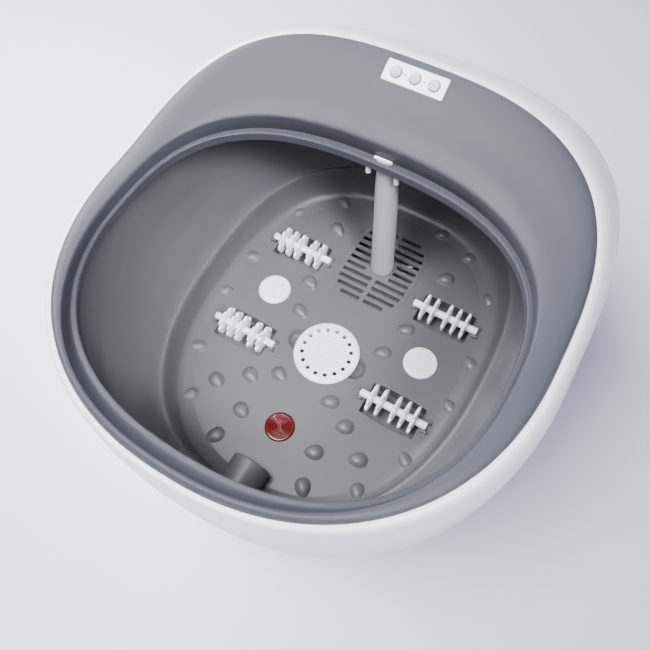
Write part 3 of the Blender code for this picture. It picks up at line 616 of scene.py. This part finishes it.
# base colour, or the setting that holds it, roughness, and the rest of plastic()'s values
FINISHES = {
    "white shell": ("shell", 0.3, dict(coat=0.25, clouds=0.02, waves=0.03)),
    "satin deck": ("deck", 0.48, dict(grain=(0.5, 0.03), waves=0.04, specular=0.28)),
    "satin tub": ("tub", 0.36, dict(grain=(0.7, 0.03), clouds=0.05, specular=0.45)),
    "white trim": ("trim", 0.32, dict(coat=0.15, clouds=0.02)),
    "column plastic": ("column", 0.38, dict(clouds=0.03)),
    "red plastic": ("lens", 0.24, dict(clouds=0.15, waves=0.02, scuffs=0.02)),
    "pale plastic": ((0.62, 0.63, 0.67), 0.45, dict(clouds=0.05)),
    "button plastic": ((0.42, 0.45, 0.50), 0.35, dict(clouds=0.03)),
    "black plastic": ((0.025, 0.025, 0.03), 0.45, dict(clouds=0.2)),
    "rubber": ((0.045, 0.045, 0.05), 0.75, dict(grain=(0.4, 0.05), clouds=0.3)),
    "hose silicone": ((0.66, 0.67, 0.70), 0.5, dict(clouds=0.08)),
    "plated steel": ((0.60, 0.60, 0.62), 0.28, dict(grain=(0.3, 0.01), scuffs=0.25,
                                                    metallic=1.0)),
    "circuit board": ((0.02, 0.16, 0.06), 0.4, dict(clouds=0.3)),
    "lamp glass": ((0.45, 0.02, 0.01), 0.12, dict(waves=0.02)),
    "panel light": ((0.12, 0.32, 0.45), 0.2, dict(clouds=0.02)),
}


def finish(name):
    """One of the basin's materials, made when it is first asked for."""
    if name in bpy.data.materials:
        return bpy.data.materials[name]
    base, roughness, values = FINISHES[name]
    if isinstance(base, str):
        base = getattr(bpy.context.scene.foot_spa_colours, base)
    return plastic(name, base, roughness, **values)


# ---------------------------------------------------------------- casings
class FOOTSPA_OT_shell(bpy.types.Operator):
    """Build the outer shell with its drain and power openings"""
    bl_idname = "footspa.shell"
    bl_label = "Outer Shell"

    def execute(self, context):
        sizes = context.scene.foot_spa_sizes
        wall = sizes.shell_wall / MM
        rings = refined(SHELL_OUTSIDE, 4)
        inside = [grown(rings[0], 0.2, 6.0)] + offset(rings, wall)[6:]
        loops = [outline(ring, sizes.segments) for ring in rings + inside[::-1]]
        bm = skin(bmesh.new(), loops, closed=True)
        drain = middle("drain_plug")
        drain_hole = lathe(bmesh.new(), rod(14.6, -22, 22), (0, -196, drain.z), ALONG_Y)
        inlet = middle("power_inlet")
        inlet_hole = bmesh.new()
        block(inlet_hole, (31.2, 40, 23.2), (inlet.x, inlet.y + 9, inlet.z), 2.0)
        mesh = worked("shell", bm, cut=[drain_hole, inlet_hole])
        publish("shell", mesh, "white shell", ["outer_shell"], crease=40)
        return {"FINISHED"}


def bump(bm, x, y, heading, height):
    """One egg-shaped bump that flows into the floor."""
    turn = Matrix.Rotation(radians(heading), 3, "Z")
    profile = [(0.0, 1.0), (0.15, 0.985), (0.3, 0.945), (0.45, 0.87), (0.6, 0.755),
               (0.73, 0.61), (0.84, 0.43), (0.92, 0.26), (0.99, 0.11), (1.06, 0.03),
               (1.12, -0.01), (1.12, -0.3), (0.0, -0.3)]
    loops = []
    for reach, level in profile:
        loop = []
        for angle in around(40 if reach else 1):
            along, across = cos(angle) * reach, sin(angle) * reach
            egg = turn @ Vector((along * 8.9, across * 6.9 * (1.0 + 0.2 * along), 0))
            crown = 1.0 + 0.12 * along if 0 < level < 1 else 1.0
            loop.append(at(x + egg.x, y + egg.y, level * height * crown))
        loops.append(loop)
    skin(bm, loops)


class FOOTSPA_OT_tub(bpy.types.Operator):
    """Build the inner tub with its massage bumps, drain boss and floor openings"""
    bl_idname = "footspa.tub"
    bl_label = "Inner Tub"

    def execute(self, context):
        sizes = context.scene.foot_spa_sizes
        wall = sizes.tub_wall / MM
        inside = refined(TUB_INSIDE, 5)
        under = FLANGE._replace(height=FLANGE.height - wall)
        turn = levelled(TUB_INSIDE[-1], wall, under.height)
        rings = offset(inside, wall)[:-2] + [turn, under, FLANGE] + inside[::-1]
        bm = skin(bmesh.new(), [outline(ring, sizes.segments) for ring in rings])

        bumps = bmesh.new()
        for x, y, heading in BUMPS:
            bump(bumps, x, y, heading, sizes.bump_height / MM)
            bump(bumps, -x, y, 180 - heading, sizes.bump_height / MM)

        drain = middle("drain_plug")
        profile = [(0, -184), (18.5, -184), (18.5, -152.6), (17.2, -151.8), (0, -151.8)]
        boss = lathe(bmesh.new(), profile, (0, 0, drain.z), ALONG_Y, edge=1.6)
        nipple = lathe(bmesh.new(), rod(13, -196, -172), (0, 0, drain.z), ALONG_Y)
        under_floor = bmesh.new()
        for x, y in POSTS:
            lathe(under_floor, rod(4.5, -25, -1.4), (x, y, 0), segments=24)
        lid = middle("herb_box_lid")
        for side in (1, -1):
            lathe(under_floor, rod(13, -9, -1.2), (SCOOP_X * side, lid.y, 0), edge=1.5)

        scoops = bmesh.new()
        for side in (1, -1):
            lathe(scoops, [(0, -6.6), (6.6, -6.4), (9.5, -4.6), (12.0, 0), (12.6, 2), (0, 2)],
                  (SCOOP_X * side, lid.y, 0), edge=1.4)

        holes = bmesh.new()
        lathe(holes, [(0, -206), (9.2, -206), (9.2, -152.6), (10.2, -151.6), (10.2, -140),
                      (0, -140)], (0, 0, drain.z), ALONG_Y, edge=0.3)
        for radius, node in ((30.4, "herb_box_lid"), (14.3, "infrared_lens"),
                             (17.3, "bubble_disc_left"), (17.3, "bubble_disc_right")):
            spot = middle(node)
            lathe(holes, [(0, -30), (radius, -30), (radius, -0.3), (radius + 0.3, 0),
                          (radius + 0.3, 5), (0, 5)], (spot.x, spot.y, 0), edge=0.1)
        for hand in ("left", "right"):
            for end in ("front", "rear"):
                spot = middle(f"roller_{end}_{hand}")
                prism(holes, [(0, -9), (0, -0.5), (0.15, -0.15), (0.5, 0), (0.5, 6)],
                      (28.0, 16.2), 1.0, spot, bulge=1.6)
        for x, y in POSTS:
            lathe(holes, rod(2.1, -27, -14.5), (x, y, 0), segments=20)
        prism(holes, [(0.12, -8), (0.12, 8)], GRILLE_HALF, GRILLE_CORNER, (0, GRILLE_Y))
        mesh = worked("tub", bm, [bumps, boss, nipple, under_floor], [scoops, holes])
        publish("tub", mesh, "satin tub", ["inner_tub"], crease=38)
        return {"FINISHED"}


class FOOTSPA_OT_deck(bpy.types.Operator):
    """Build the deck with its rim, the roof over the toe space and the seal"""
    bl_idname = "footspa.deck"
    bl_label = "Deck and Rim"

    def execute(self, context):
        segments = context.scene.foot_spa_sizes.segments
        rings = refined(FRAME_SECTION, 4, closed=True)
        bm = skin(bmesh.new(), [outline(ring, segments) for ring in rings], closed=True)
        panel = middle("control_panel")
        opening = block(bmesh.new(), (52.7, 17.7, 30), panel, 1.6, DECK_TILT)
        clip_slot = block(bmesh.new(), CLIP_SLOT, (0, CLIP_Y, 174), 0.4)
        mesh = worked("deck", bm, cut=[opening, clip_slot])
        publish("deck", mesh, "satin deck", ["upper_frame"], crease=35)

        lip = FRAME_SECTION[-1]
        roof = [levelled(FLANGE, -1.0, 170.7), levelled(FLANGE, -1.0, 173.2),
                levelled(lip, 0.5, 173.2), levelled(lip, 0.5, 170.7)]
        bm = skin(bmesh.new(), [outline(ring, segments) for ring in roof], closed=True)
        roof_slot = block(bmesh.new(), CLIP_SLOT, (0, CLIP_Y, 174), 0.4)
        mesh = worked("toe_space_roof", bm, cut=[roof_slot])
        publish("toe_space_roof", mesh, "satin tub", ["toe_roof"])

        seal = [levelled(FLANGE, grow, height)
                for grow, height in ((-2, 168.3), (-2, 170.4), (-5.4, 170.4), (-5.4, 168.3))]
        bm = skin(bmesh.new(), [outline(ring, segments) for ring in seal], closed=True)
        publish("rim_seal", bm, "rubber", ["tub_seal"])
        return {"FINISHED"}


# ---------------------------------------------------------------- rollers
def toothed_disc(bm, shift, centre, tip, root):
    """A disc with blunt teeth that thin towards their tips."""
    levels = [(0.0, 1.0), (0.42, 1.0), (0.72, 0.97), (0.9, 0.90), (0.975, 0.72), (1.0, 0.45)]
    sides = levels + [(reach, -width) for reach, width in reversed(levels)]
    loops = []
    for reach, width in sides:
        loop = []
        for angle in around(TEETH * TOOTH_STEPS if reach else 1):
            lobe = min(max((cos(TEETH * angle) + 0.75) / 1.15, 0.0), 1.0)
            lobe = lobe * lobe * (3 - 2 * lobe)
            radius = (root + (tip - root) * lobe) * reach
            taper = min(max((radius - 4.0) / (tip - 4.0), 0.0), 1.0)
            half = 2.5 - 1.05 * taper
            loop.append(at(centre.x + shift + half * width, centre.y + radius * cos(angle),
                           centre.z + radius * sin(angle)))
        loops.append(loop)
    return skin(bm, loops)


class FOOTSPA_OT_rollers(bpy.types.Operator):
    """Build the four toothed massage rollers, each on its own axle, and their pockets"""
    bl_idname = "footspa.rollers"
    bl_label = "Massage Rollers"

    def execute(self, context):
        sizes = context.scene.foot_spa_sizes
        tip, root = sizes.tooth_tip / MM, sizes.tooth_root / MM
        for hand, side in (("left", -1), ("right", 1)):
            for end in ("front", "rear"):
                node = f"roller_{end}_{hand}"
                centre = middle(node)
                end_radius, shoulder = AXLE_RADIUS - 0.75, AXLE_END - 0.7
                axle = [(0, -AXLE_END), (end_radius, -AXLE_END), (AXLE_RADIUS, -shoulder),
                        (AXLE_RADIUS, shoulder), (end_radius, AXLE_END), (0, AXLE_END)]
                bm = lathe(bmesh.new(), axle, centre, ALONG_X, segments=40)
                discs = bmesh.new()
                for shift in ROLLER_DISCS:
                    toothed_disc(discs, shift * side, centre, tip, root)
                mesh = worked(node + "_finished", bm, [discs])
                publish(node + "_finished", mesh, "white trim", [node],
                        body=node, crease=42)
                self.pocket(f"roller_tray_{end}_{hand}", centre)
        return {"FINISHED"}

    def pocket(self, node, centre):
        """The pocket under a roller, with a saddle for each end of its axle."""
        tray = prism(bmesh.new(), [(0, -15.5), (0, -2.9)], (30.0, 18.4), 3.0, centre, bulge=0.8)
        hollow = prism(bmesh.new(), [(-1.6, -13.5), (-0.6, -12.6), (0, -11.0), (0.1, 5)],
                       (28.15, 16.5), 2.2, centre, bulge=1.3)
        saddles = bmesh.new()
        for side in (1, -1):
            block(saddles, (6.4, 13.0, 6.4), (centre.x + side * SADDLE_X, centre.y, 0.9), 0.9)
        grooves = lathe(bmesh.new(), rod(4.1, -45, 45), centre, ALONG_X)
        gap_above = block(bmesh.new(), (90, 8.2, 8), (centre.x, centre.y, centre.z + 4), 0.1)
        tray = poured(worked(node, tray, cut=[hollow]), bmesh.new())
        mesh = worked(node + "_finished", tray, [saddles], [grooves, gap_above])
        publish(node + "_finished", mesh, "satin tub", [node])


# ---------------------------------------------------------------- floor inserts
class FOOTSPA_OT_inserts(bpy.types.Operator):
    """Build the bubble discs, the herb box lid and the infrared lens"""
    bl_idname = "footspa.inserts"
    bl_label = "Floor Inserts"

    def execute(self, context):
        trim = context.scene.foot_spa_colours.trim
        for hand in ("left", "right"):
            node = f"bubble_disc_{hand}"
            spot = middle(node)
            profile = [(0, -15), (2.0, -15), (4.0, -14.4), (4.0, -3.4), (16.9, -3.4),
                       (16.9, -0.2), (16.2, 0.7), (13.6, 1.25), (12.4, 1.0), (6, 1.15), (0, 1.2)]
            bm = lathe(bmesh.new(), profile, (spot.x, spot.y, 0), edge=0.4)
            pits = bmesh.new()
            for radius, count in ((4.2, 5), (8.2, 9), (11.2, 13)):
                for angle in around(count, radius):
                    lathe(pits, [(0, 0.1), (0.45, 0.2), (0.7, 3), (0, 3)],
                          (spot.x + radius * cos(angle), spot.y + radius * sin(angle), 0),
                          segments=10, edge=0.02)
            mesh = worked(node + "_finished", bm, cut=[pits])
            material = pebbled(node, trim, (spot.x, spot.y, 0), 12.6, 1.5, 0.8, 0.25)
            publish(node + "_finished", mesh, material, [node])

        spot = middle("herb_box_lid")
        profile = [(0, 1.8), (26.7, 1.8), (26.7, -4), (27.7, -4), (27.7, 0.4), (32.9, 0.4),
                   (33.0, 1.6), (31.9, 3.2), (29.0, 4.0), (20.5, 4.05), (19.6, 3.8), (0, 3.95)]
        bm = lathe(bmesh.new(), profile, (spot.x, spot.y, 0), segments=128, edge=0.7)
        holes = bmesh.new()
        for angle in around(HERB_HOLES, HERB_FIRST_HOLE):
            lathe(holes, [(0, -2), (2.25, -2), (2.25, 3.85), (2.4, 4.1), (2.4, 8), (0, 8)],
                  (spot.x + HERB_HOLES_AT * cos(angle), spot.y + HERB_HOLES_AT * sin(angle), 0),
                  segments=24, edge=0.15)
        mesh = worked("herb_lid", bm, cut=[holes])
        material = pebbled("herb lid", trim, (spot.x, spot.y, 0), 19.8, 1.5, 0.6, 0.3)
        publish("herb_lid", mesh, material, ["herb_box_lid"], body="herb_lid")

        spot = middle("infrared_lens")
        profile = [(0, -3.0), (13.9, -3.0), (13.9, -0.2), (13.2, 0.5), (12.0, 0.75)]
        for k in range(7):
            radius = 11.4 - 1.5 * k
            profile += [(radius, 0.35), (radius - 0.7, 0.95)]
        bm = lathe(bmesh.new(), profile + [(0, 0.7)], (spot.x, spot.y, 0), segments=96,
                   edge=0.25)
        material = finish("red plastic")
        material.node_tree.nodes["Principled BSDF"].inputs["IOR"].default_value = 1.49
        publish("red_lens", bm, material, ["infrared_lens"])
        return {"FINISHED"}


class FOOTSPA_OT_grille(bpy.types.Operator):
    """Build the intake grille and the pump cover below its front half, whose black is painted
    shade seen through the slots
    """
    bl_idname = "footspa.grille"
    bl_label = "Intake Grille"

    def execute(self, context):
        plate = prism(bmesh.new(), [(0, -2.6), (0, -0.08), (-0.08, 0)], GRILLE_HALF,
                      GRILLE_CORNER, (0, GRILLE_Y))
        slots = bmesh.new()
        for row in range(SLOT_ROWS):
            y = FIRST_SLOT_Y + SLOT_PITCH * row
            near = SPIGOT_HALF if abs(y - COLUMN_Y) < SPIGOT_HALF else BAR_HALF
            far = 36.0 * sqrt(1.0 - (abs(y - GRILLE_Y) / GRILLE_HALF[1]) ** 5)
            half = (far - near) / 2
            for side in (1, -1):
                prism(slots, [(0, -6), (0, -0.4), (0.35, 0.05), (0.35, 4)], (half, 2.2), 0.7,
                      (side * (near + half), y))
        spigot = lathe(bmesh.new(), rod(8.4, -6, 6), (0, COLUMN_Y, 0))
        mesh = worked("grille", plate, cut=[slots, spigot])
        publish("grille", mesh, "satin tub", ["intake_grille"])

        # The cover's black is painted shade: it darkens what shows through the grille's front
        # slots.
        cover = prism(bmesh.new(), [(-0.8, -6.4), (0, -5.8), (0, -5.2), (-0.3, -4.9)],
                      (40.0, 24.0), 16.0, (0, 66.5))
        publish("pump_cover", cover, "black plastic")
        return {"FINISHED"}


class FOOTSPA_OT_column(bpy.types.Operator):
    """Build the spray column and the clip that holds its top to the rim"""
    bl_idname = "footspa.column"
    bl_label = "Spray Column"

    def execute(self, context):
        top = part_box("spray_column")[1].z / MM - FLOOR_Z
        profile = [(0, top), (8.2, top), (9.8, top - 1.6), (10.3, 140), (10.7, 110),
                   (11.1, 70), (11.5, 35), (11.9, 4), (12.0, 0.4), (8.0, 0.4), (8.0, -14),
                   (5.6, -14), (5.6, 12), (0, 12)]
        bm = lathe(bmesh.new(), profile, (0, COLUMN_Y, 0), segments=96, edge=1.0)
        for vert in bm.verts:
            height = vert.co.z / MM - FLOOR_Z
            vert.co.y -= COLUMN_LEAN * max(height - COLUMN_FOOT, 0) * MM
        publish("column", bm, "column plastic", ["spray_column"])

        clip = block(bmesh.new(), (15.8, 2.4, 2.4), (0, CLIP_Y - 0.2, 179.7), 0.5)
        web = block(bmesh.new(), (10.2, 2.4, 14), (0, CLIP_Y, 173), 0.3)
        bar = block(bmesh.new(), (30, 3.4, 3.2), (0, CLIP_Y + 0.2, 168.7), 0.7)
        nibs = bmesh.new()
        for side in (1, -1):
            lathe(nibs, [(0, 158.6), (1.9, 158.6), (2.4, 159.4), (2.4, 168.4), (0, 168.4)],
                  (13 * side, CLIP_Y + 0.2, 0), segments=32, edge=0.6)
        mesh = worked("clip", clip, [web, bar, nibs])
        publish("clip", mesh, "white trim", ["column_clip"])
        return {"FINISHED"}


class FOOTSPA_OT_drain(bpy.types.Operator):
    """Build the pull-out drain plug and its seal"""
    bl_idname = "footspa.drain"
    bl_label = "Drain Plug"

    def execute(self, context):
        centre = (0, PLUG_FACE_Y, middle("drain_plug").z)
        profile = [(0, 0), (12.6, 0), (13.8, -1.0), (13.8, -6), (8.6, -6), (8.6, -26),
                   (8.0, -28), (0, -28)]
        bm = lathe(bmesh.new(), profile, centre, OUTWARD, segments=64, edge=0.8)
        tab = block(bmesh.new(), (3.0, 17, 7.0), (0, centre[1] - 2.5, centre[2]), 1.0, OUTWARD)
        mesh = worked("drain_stopper", bm, [tab])
        publish("drain_stopper", mesh, "satin tub", ["drain_plug"],
                body="drain_stopper")
        seal = lathe(bmesh.new(), [(9.0, -7.2), (9.0, -6.3), (12.6, -6.3), (12.6, -7.2)],
                     centre, OUTWARD, edge=0.3)
        publish("drain_gasket", seal, "rubber", ["drain_seal"])
        return {"FINISHED"}


# ---------------------------------------------------------------- controls and underside
class FOOTSPA_OT_controls(bpy.types.Operator):
    """Build the control panel and its three buttons"""
    bl_idname = "footspa.controls"
    bl_label = "Control Panel"

    def execute(self, context):
        spot = middle("control_panel")
        panel = block(bmesh.new(), (52, 17, 3), spot, 1.0, DECK_TILT)
        bores = bmesh.new()
        for use in BUTTONS:
            x = middle(f"button_{use}").x
            lathe(bores, [(0, -8), (4.8, -8), (4.8, 1.1), (5.3, 1.6), (5.3, 8), (0, 8)],
                  (x, spot.y, spot.z), DECK_TILT, segments=48, edge=0.1)
        for x in (-LAMP_X, LAMP_X):
            lathe(bores, rod(0.9, 1.0, 8), (x, spot.y, spot.z), DECK_TILT, segments=24,
                  edge=0.05)
        mesh = worked("panel", panel, cut=[bores])
        publish("panel", mesh, "white trim", ["control_panel"])
        lamps = bmesh.new()
        for x in (-LAMP_X, LAMP_X):
            lathe(lamps, [(0, 0.9), (0.8, 0.9), (0.8, 1.6), (0, 1.8)], (x, spot.y, spot.z),
                  DECK_TILT, segments=24, edge=0.2)
        publish("panel_lamps", lamps, "panel light")
        for use in BUTTONS:
            node = f"button_{use}"
            profile = [(0, -3.4), (4.4, -3.4), (4.4, 2.3), (3.6, 3.0), (2.6, 2.75), (0, 2.5)]
            bm = lathe(bmesh.new(), profile, (middle(node).x, spot.y, spot.z), DECK_TILT,
                       segments=64, edge=0.5)
            publish(node + "_finished", bm, "button plastic", [node],
                    body=f"{use}_button")
        return {"FINISHED"}


class FOOTSPA_OT_underside(bpy.types.Operator):
    """Build the feet and the power inlet, and finish the frame's own inner pieces"""
    bl_idname = "footspa.underside"
    bl_label = "Feet, Inlet and Inner Pieces"

    def execute(self, context):
        for number in range(1, 5):
            node = f"foot_{number}"
            spot = middle(node)
            profile = [(0, 0.9), (7.5, 0.9), (8.5, 0), (11.6, 0), (13, 1.4), (13, 4.6),
                       (12.4, 5.1), (5.0, 5.1), (5.0, 11), (0, 11)]
            bm = lathe(bmesh.new(), profile, (spot.x, spot.y, -FLOOR_Z), edge=0.6)
            publish(node + "_finished", bm, "rubber", [node])

        spot = middle("power_inlet")
        body = block(bmesh.new(), (30, 26, 22), spot, 1.2)
        socket = block(bmesh.new(), (19.6, 24, 10.6), (spot.x, spot.y + 7, spot.z), 2.4)
        mesh = worked("inlet", body, cut=[socket])
        publish("inlet", mesh, "black plastic", ["power_inlet"])
        pins = bmesh.new()
        for side in (1, -1):
            lathe(pins, [(0, -6.4), (1.2, -6.4), (1.2, 8.6), (0, 9.6)],
                  (side * PINS_X, spot.y, spot.z), ALONG_Y, segments=24, edge=0.5)
        publish("inlet_pins", pins, "plated steel")

        looks = {
            "pale plastic": ("base_plate", "lamp_housing", "pump_impeller"),
            "satin tub": ("herb_cup", "sump_tray"),
            "plated steel": (*(f"base_screw_{number}" for number in range(1, 7)),
                             "heater_rod", "pump_motor", "thermostat"),
            "circuit board": ("control_board", "power_board"),
            "hose silicone": ("air_hose_left", "air_hose_right"),
            "black plastic": ("air_pump",),
            "lamp glass": ("infrared_lamp",),
        }
        for look, nodes in looks.items():
            for node in nodes:
                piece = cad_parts[node]
                piece.data.materials.clear()
                piece.data.materials.append(finish(look))
        return {"FINISHED"}


# ---------------------------------------------------------------- stage
def area_light(name, place, target, size, tint, spread, power):
    data = bpy.data.lights.new(name, "AREA")
    data.shape = "RECTANGLE"
    data.size, data.size_y = size
    data.energy = power
    data.color = tint
    data.spread = radians(spread)
    lamp = new_object(name, data)
    lamp.location = place
    lamp.rotation_mode = "QUATERNION"
    lamp.rotation_quaternion = (Vector(target) - Vector(place)).to_track_quat("-Z", "Y")


class FOOTSPA_OT_stage(bpy.types.Operator):
    """Lay the floor, set the lights and place the camera"""
    bl_idname = "footspa.stage"
    bl_label = "Studio"

    def execute(self, context):
        studio = context.scene.foot_spa_studio
        floor = bmesh.new()
        bmesh.ops.create_grid(floor, x_segments=1, y_segments=1, size=4.0)
        mesh = as_mesh(floor, "floor")
        mesh.materials.append(plastic("backdrop", studio.backdrop, 0.6, clouds=0.01, waves=0.0))
        new_object("floor", mesh)

        world = bpy.data.worlds.new("studio")
        world.use_nodes = True
        sky = world.node_tree.nodes["Background"]
        sky.inputs["Color"].default_value = SKY_COLOUR
        sky.inputs["Strength"].default_value = SKY_STRENGTH
        context.scene.world = world
        for light in LIGHTS:
            area_light(*light, getattr(studio, light[0] + "_power"))

        azimuth, elevation, roll = CAMERA_AZIMUTH, CAMERA_ELEVATION, CAMERA_ROLL
        back = Vector((sin(azimuth) * cos(elevation), -cos(azimuth) * cos(elevation),
                       sin(elevation)))
        right = Vector((cos(azimuth), sin(azimuth), 0))
        up = back.cross(right)
        data = bpy.data.cameras.new("camera")
        data.lens = studio.lens_length
        data.sensor_width = 36.0
        camera = new_object("camera", data)
        across = cos(roll) * right + sin(roll) * up
        level = cos(roll) * up - sin(roll) * right
        turn = Matrix((across, level, back)).transposed().to_4x4()
        camera.matrix_world = Matrix.Translation(CAMERA_PLACE) @ turn
        context.scene.camera = camera
        return {"FINISHED"}


OPERATORS = (FOOTSPA_OT_stage, FOOTSPA_OT_shell, FOOTSPA_OT_tub, FOOTSPA_OT_deck,
             FOOTSPA_OT_rollers, FOOTSPA_OT_inserts, FOOTSPA_OT_grille, FOOTSPA_OT_column,
             FOOTSPA_OT_drain, FOOTSPA_OT_controls, FOOTSPA_OT_underside)


class FOOTSPA_PT_panel(bpy.types.Panel):
    """The sidebar's list of the basin's pieces"""
    bl_idname = "FOOTSPA_PT_panel"
    bl_label = "Foot Spa Basin"
    bl_space_type = "VIEW_3D"
    bl_region_type = "UI"
    bl_category = "Foot Spa"

    def draw(self, context):
        for settings in SETTINGS:
            box = self.layout.box()
            group = getattr(context.scene, settings)
            for name in group.__annotations__:
                box.prop(group, name)
        for operator in OPERATORS:
            self.layout.operator(operator.bl_idname)


SETTINGS = {"foot_spa_sizes": FootSpaSizes, "foot_spa_colours": FootSpaColours,
            "foot_spa_studio": FootSpaStudio}
CLASSES = (*SETTINGS.values(), *OPERATORS, FOOTSPA_PT_panel)


def register():
    for cls in CLASSES:
        bpy.utils.register_class(cls)
    for name, group in SETTINGS.items():
        setattr(bpy.types.Scene, name, PointerProperty(type=group))


def unregister():
    for name in SETTINGS:
        delattr(bpy.types.Scene, name)
    for cls in reversed(CLASSES):
        bpy.utils.unregister_class(cls)


def main():
    register()
    for operator in OPERATORS:
        getattr(bpy.ops.footspa, operator.bl_idname.split(".")[1])()


if __name__ == "__main__":
    main()
